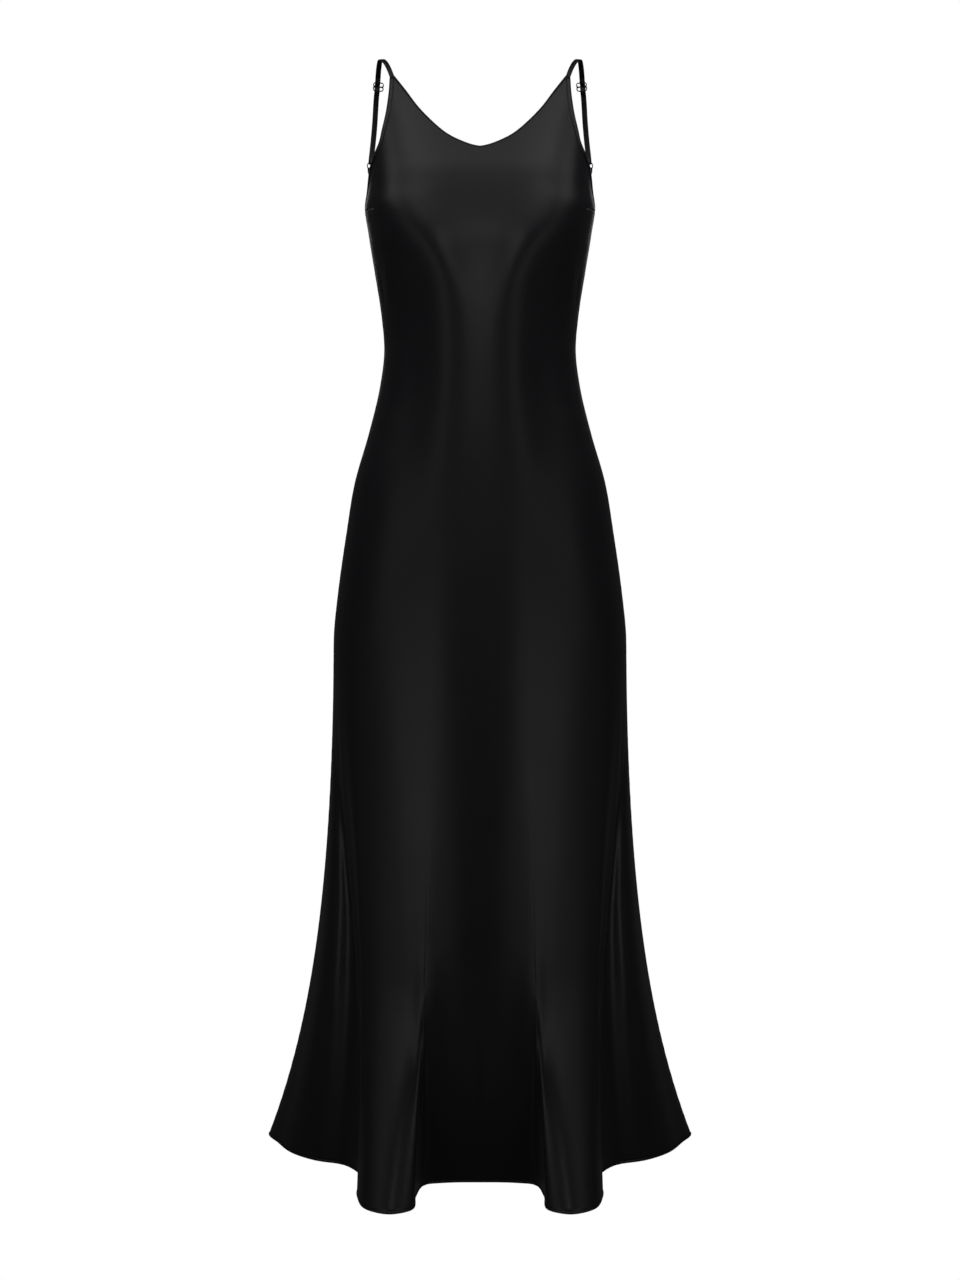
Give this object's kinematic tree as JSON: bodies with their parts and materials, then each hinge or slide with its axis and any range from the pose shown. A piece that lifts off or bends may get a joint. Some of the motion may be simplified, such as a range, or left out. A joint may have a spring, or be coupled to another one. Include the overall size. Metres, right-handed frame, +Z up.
{
  "type": "slip dress",
  "caption": "Sleeveless bias-cut maxi slip dress with a scooped neck, thin adjustable back straps and a fluted hem, held as worn.",
  "frame": {"origin": "midway between the tops of the two shoulder straps, where the dress is held up", "axes": "+Z up; the front faces -Y; X runs across the shoulders, with the wearer's left at +X; the two halves mirror about X = 0"},
  "size_m": [0.5484, 0.392, 1.3426],
  "materials": {
    "black_satin": "satin",
    "black_metal": "gloss"
  },
  "bodies": {
    "root": {"front_panel": "black_satin", "back_panel": "black_satin", "armhole_binding_left": "black_satin", "armhole_binding_right": "black_satin", "strap_left": "black_satin", "strap_right": "black_satin", "slider_left": "black_metal", "slider_right": "black_metal", "ring_left": "black_metal", "ring_right": "black_metal", "strap_tab_left": "black_satin", "strap_tab_right": "black_satin"}
  },
  "joints": []
}
